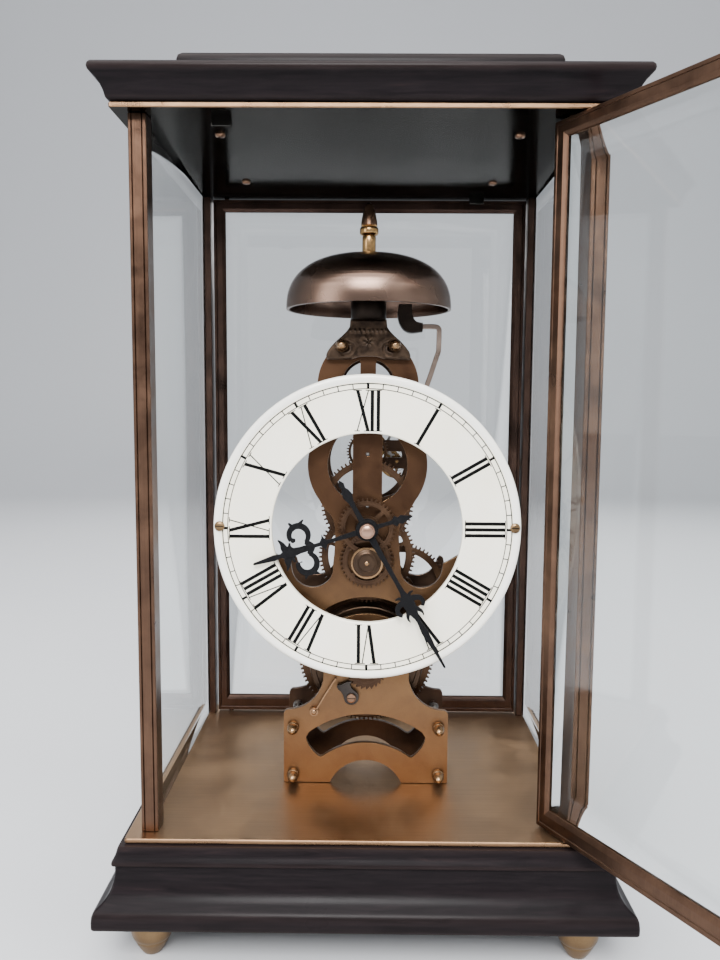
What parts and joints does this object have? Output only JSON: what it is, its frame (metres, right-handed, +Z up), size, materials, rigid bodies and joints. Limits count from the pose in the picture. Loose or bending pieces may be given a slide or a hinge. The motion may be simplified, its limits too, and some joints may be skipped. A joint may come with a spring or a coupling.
{
  "type": "skeleton clock in a four-glass case",
  "caption": "Skeleton clock in a four-glass case: hinged front and rear doors, open movement, enamel chapter ring, hands, bell with hammer and a geared train.",
  "frame": {"origin": "centre of the wooden base's underside; the feet reach below it", "axes": "+X to the right of someone facing the dial, +Y from the front to the back, +Z up"},
  "size_m": [0.2864, 0.3065, 0.3817],
  "materials": {
    "black_wood": "black polished, slightly worn",
    "bronze": "dark copper-coloured, satin",
    "dark_bronze": "dark, satin",
    "plate_bronze": "polished, copper tone at the edges",
    "movement_brass": "aged, brushed",
    "brass": "polished",
    "bell_bronze": "turned, fine rings",
    "enamel": "glossy vitreous enamel with black numerals",
    "hand_black": "satin black",
    "steel": "satin",
    "glass": "clear, bevelled borders"
  },
  "bodies": {
    "case": {"base": "black_wood", "cornice": "black_wood", "foot_front_left": "brass", "foot_front_right": "brass", "foot_rear_left": "brass", "foot_rear_right": "brass", "floor_plate": "plate_bronze", "ceiling_plate": "plate_bronze", "post_front_left": "bronze", "post_front_right": "bronze", "post_rear_left": "bronze", "post_rear_right": "bronze", "side_glass_left": "glass", "side_glass_right": "glass", "front_plate": "movement_brass", "rear_plate": "dark_bronze", "pillar_upper_left": "steel", "pillar_upper_right": "steel", "pillar_lower_left": "steel", "pillar_lower_right": "steel", "nut_upper_left": "brass", "nut_upper_right": "brass", "nut_lower_left": "brass", "nut_lower_right": "brass", "bracket_bolt_left": "brass", "bracket_bolt_right": "brass", "bell_bracket": "dark_bronze", "bell": "bell_bronze", "bell_finial": "brass", "dial": "enamel", "dial_screw_left": "bronze", "dial_screw_right": "bronze", "click_screw": "steel", "click_spring": "steel", "balance_cock": "brass"},
    "front_door": {"front_door_frame": "bronze", "front_door_glass": "glass", "front_door_knob": "brass"},
    "rear_door": {"rear_door_frame": "bronze", "rear_door_glass": "glass", "rear_door_knob": "brass"},
    "centre": {"centre_wheel": "movement_brass"},
    "barrel": {"great_wheel": "movement_brass", "barrel_drum": "movement_brass", "mainspring": "steel"},
    "winding": {"winding_arbor": "steel"},
    "ratchet_click": {"click": "steel"},
    "intermediate": {"intermediate_wheel": "movement_brass"},
    "third": {"third_wheel": "movement_brass"},
    "fourth": {"fourth_wheel": "movement_brass"},
    "escape": {"escape_wheel": "brass"},
    "pallets": {"pallet_lever": "steel"},
    "balance": {"balance_wheel": "brass", "hairspring": "steel"},
    "minute": {"minute_hand": "hand_black", "cannon_pinion": "steel", "hand_nut": "brass"},
    "hour": {"hour_hand": "hand_black", "hour_wheel": "movement_brass"},
    "bell_hammer": {"hammer": "bronze"}
  },
  "joints": [
    {"name": "front_door_hinge", "type": "hinge", "parent": "case", "child": "front_door", "pos_m": [0.0805, -0.069, 0.183], "axis": [0, 0, 1], "range_deg": [-119.5, 18]},
    {"name": "rear_door_hinge", "type": "hinge", "parent": "case", "child": "rear_door", "pos_m": [-0.0805, 0.069, 0.183], "axis": [0, 0, 1], "range_deg": [0, 140]},
    {"name": "centre_spin", "type": "hinge", "parent": "case", "child": "centre", "pos_m": [0, -0.01, 0.1437], "axis": [0, 1, 0], "continuous": true},
    {"name": "barrel_spin", "type": "hinge", "parent": "case", "child": "barrel", "pos_m": [0, -0.01, 0.0913], "axis": [0, 1, 0], "continuous": true},
    {"name": "winding_spin", "type": "hinge", "parent": "case", "child": "winding", "pos_m": [0, -0.01, 0.0913], "axis": [0, 1, 0], "continuous": true},
    {"name": "click_pivot", "type": "hinge", "parent": "case", "child": "ratchet_click", "pos_m": [-0.007, -0.0262, 0.0776], "axis": [0, 1, 0], "range_deg": [-12, 0]},
    {"name": "intermediate_spin", "type": "hinge", "parent": "case", "child": "intermediate", "pos_m": [0.01764, -0.01, 0.12473], "axis": [0, 1, 0], "continuous": true},
    {"name": "third_spin", "type": "hinge", "parent": "case", "child": "third", "pos_m": [0, -0.01, 0.1696], "axis": [0, 1, 0], "continuous": true},
    {"name": "fourth_spin", "type": "hinge", "parent": "case", "child": "fourth", "pos_m": [0, -0.01, 0.1941], "axis": [0, 1, 0], "continuous": true},
    {"name": "escape_spin", "type": "hinge", "parent": "case", "child": "escape", "pos_m": [0, -0.01, 0.2061], "axis": [0, 1, 0], "continuous": true},
    {"name": "pallet_pivot", "type": "hinge", "parent": "case", "child": "pallets", "pos_m": [0.00848, 0.0096, 0.19599], "axis": [0, 1, 0], "range_deg": [-5, 5]},
    {"name": "balance_spin", "type": "hinge", "parent": "case", "child": "balance", "pos_m": [0.01478, 0.0122, 0.18848], "axis": [0, 1, 0], "range_deg": [-150, 150]},
    {"name": "minute_spin", "type": "hinge", "parent": "case", "child": "minute", "pos_m": [0, -0.03, 0.1602], "axis": [0, 1, 0], "continuous": true},
    {"name": "hour_spin", "type": "hinge", "parent": "case", "child": "hour", "pos_m": [0, -0.03, 0.1602], "axis": [0, 1, 0], "continuous": true},
    {"name": "hammer_pivot", "type": "hinge", "parent": "case", "child": "bell_hammer", "pos_m": [0.017, -0.016, 0.214], "axis": [0, 1, 0], "range_deg": [-3, 8]}
  ],
  "couplings": [
    {"joint": "barrel_spin", "follows": "centre_spin", "ratio": 0.019531},
    {"joint": "intermediate_spin", "follows": "centre_spin", "ratio": -0.15625},
    {"joint": "third_spin", "follows": "centre_spin", "ratio": -8.25},
    {"joint": "fourth_spin", "follows": "centre_spin", "ratio": 63.938},
    {"joint": "escape_spin", "follows": "centre_spin", "ratio": -319.69},
    {"joint": "minute_spin", "follows": "centre_spin", "ratio": -3},
    {"joint": "hour_spin", "follows": "centre_spin", "ratio": -0.25}
  ]
}
